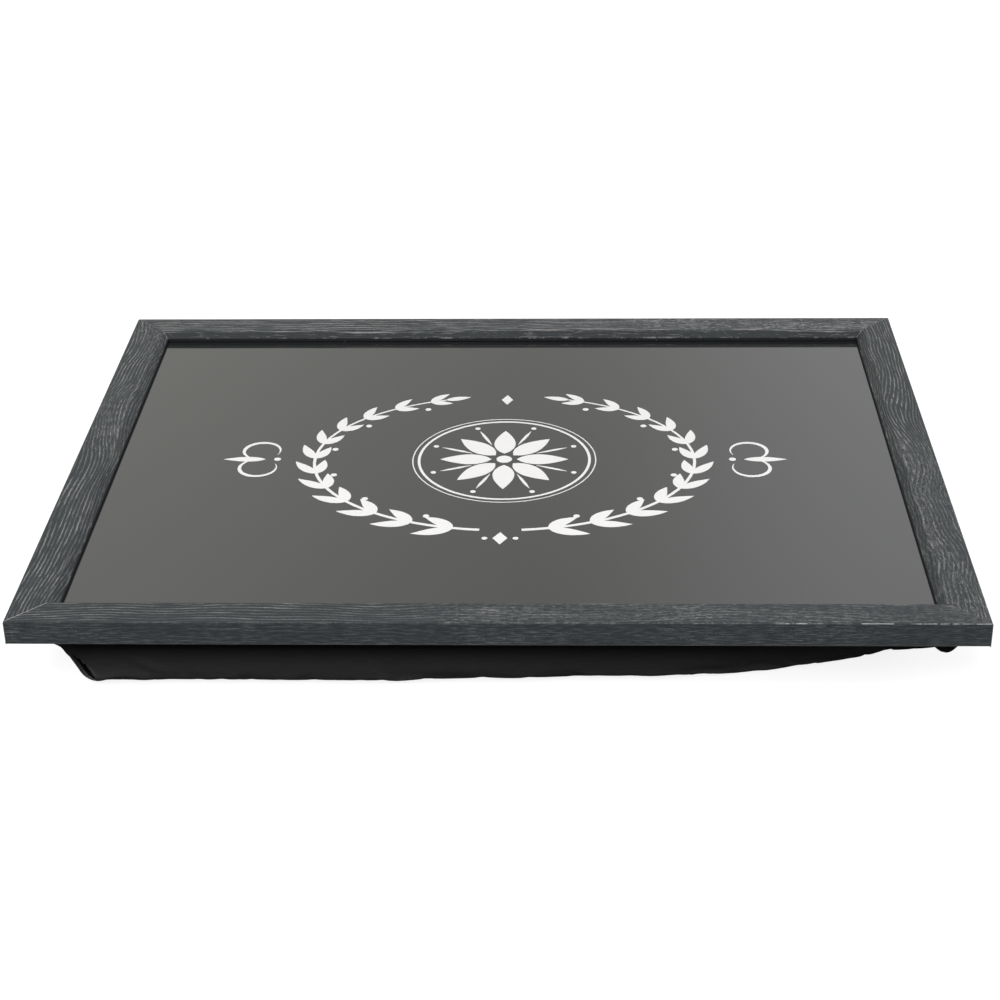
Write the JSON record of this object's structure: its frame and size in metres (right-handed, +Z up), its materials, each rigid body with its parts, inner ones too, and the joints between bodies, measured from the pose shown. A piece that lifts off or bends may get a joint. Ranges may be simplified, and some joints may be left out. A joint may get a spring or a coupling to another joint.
{
  "type": "lap tray",
  "caption": "Shallow rectangular lap tray: mitred wooden frame round a gloss panel, on a bead-filled cloth cushion that levels it.",
  "frame": {"origin": "on the surface that the cushion stands on, under the middle of the frame", "axes": "+X along the long side to the right, +Y from the front rail to the back rail, +Z up"},
  "size_m": [0.44, 0.343, 0.05],
  "materials": {
    "charcoal_wood": "satin",
    "gloss_decor": "gloss",
    "fibreboard": "matte",
    "black_cloth": "matte",
    "liner_cloth": "matte",
    "foam_beads": "matte",
    "steel": "satin"
  },
  "bodies": {
    "root": {"back_rail": "charcoal_wood", "bead_filling": "foam_beads", "cushion_cover": "black_cloth", "cushion_liner": "liner_cloth", "decor_sheet": "gloss_decor", "front_rail": "charcoal_wood", "left_rail": "charcoal_wood", "point_back_1": "steel", "point_back_2": "steel", "point_back_3": "steel", "point_front_1": "steel", "point_front_2": "steel", "point_front_3": "steel", "point_left_1": "steel", "point_left_2": "steel", "point_right_1": "steel", "point_right_2": "steel", "right_rail": "charcoal_wood", "staple_back_1": "steel", "staple_back_2": "steel", "staple_back_3": "steel", "staple_back_4": "steel", "staple_back_5": "steel", "staple_back_6": "steel", "staple_front_1": "steel", "staple_front_2": "steel", "staple_front_3": "steel", "staple_front_4": "steel", "staple_front_5": "steel", "staple_front_6": "steel", "staple_left_1": "steel", "staple_left_2": "steel", "staple_left_3": "steel", "staple_left_4": "steel", "staple_right_1": "steel", "staple_right_2": "steel", "staple_right_3": "steel", "staple_right_4": "steel", "tray_board": "fibreboard", "vnail_back_left_inner": "steel", "vnail_back_left_outer": "steel", "vnail_back_right_inner": "steel", "vnail_back_right_outer": "steel", "vnail_front_left_inner": "steel", "vnail_front_left_outer": "steel", "vnail_front_right_inner": "steel", "vnail_front_right_outer": "steel"}
  },
  "joints": []
}
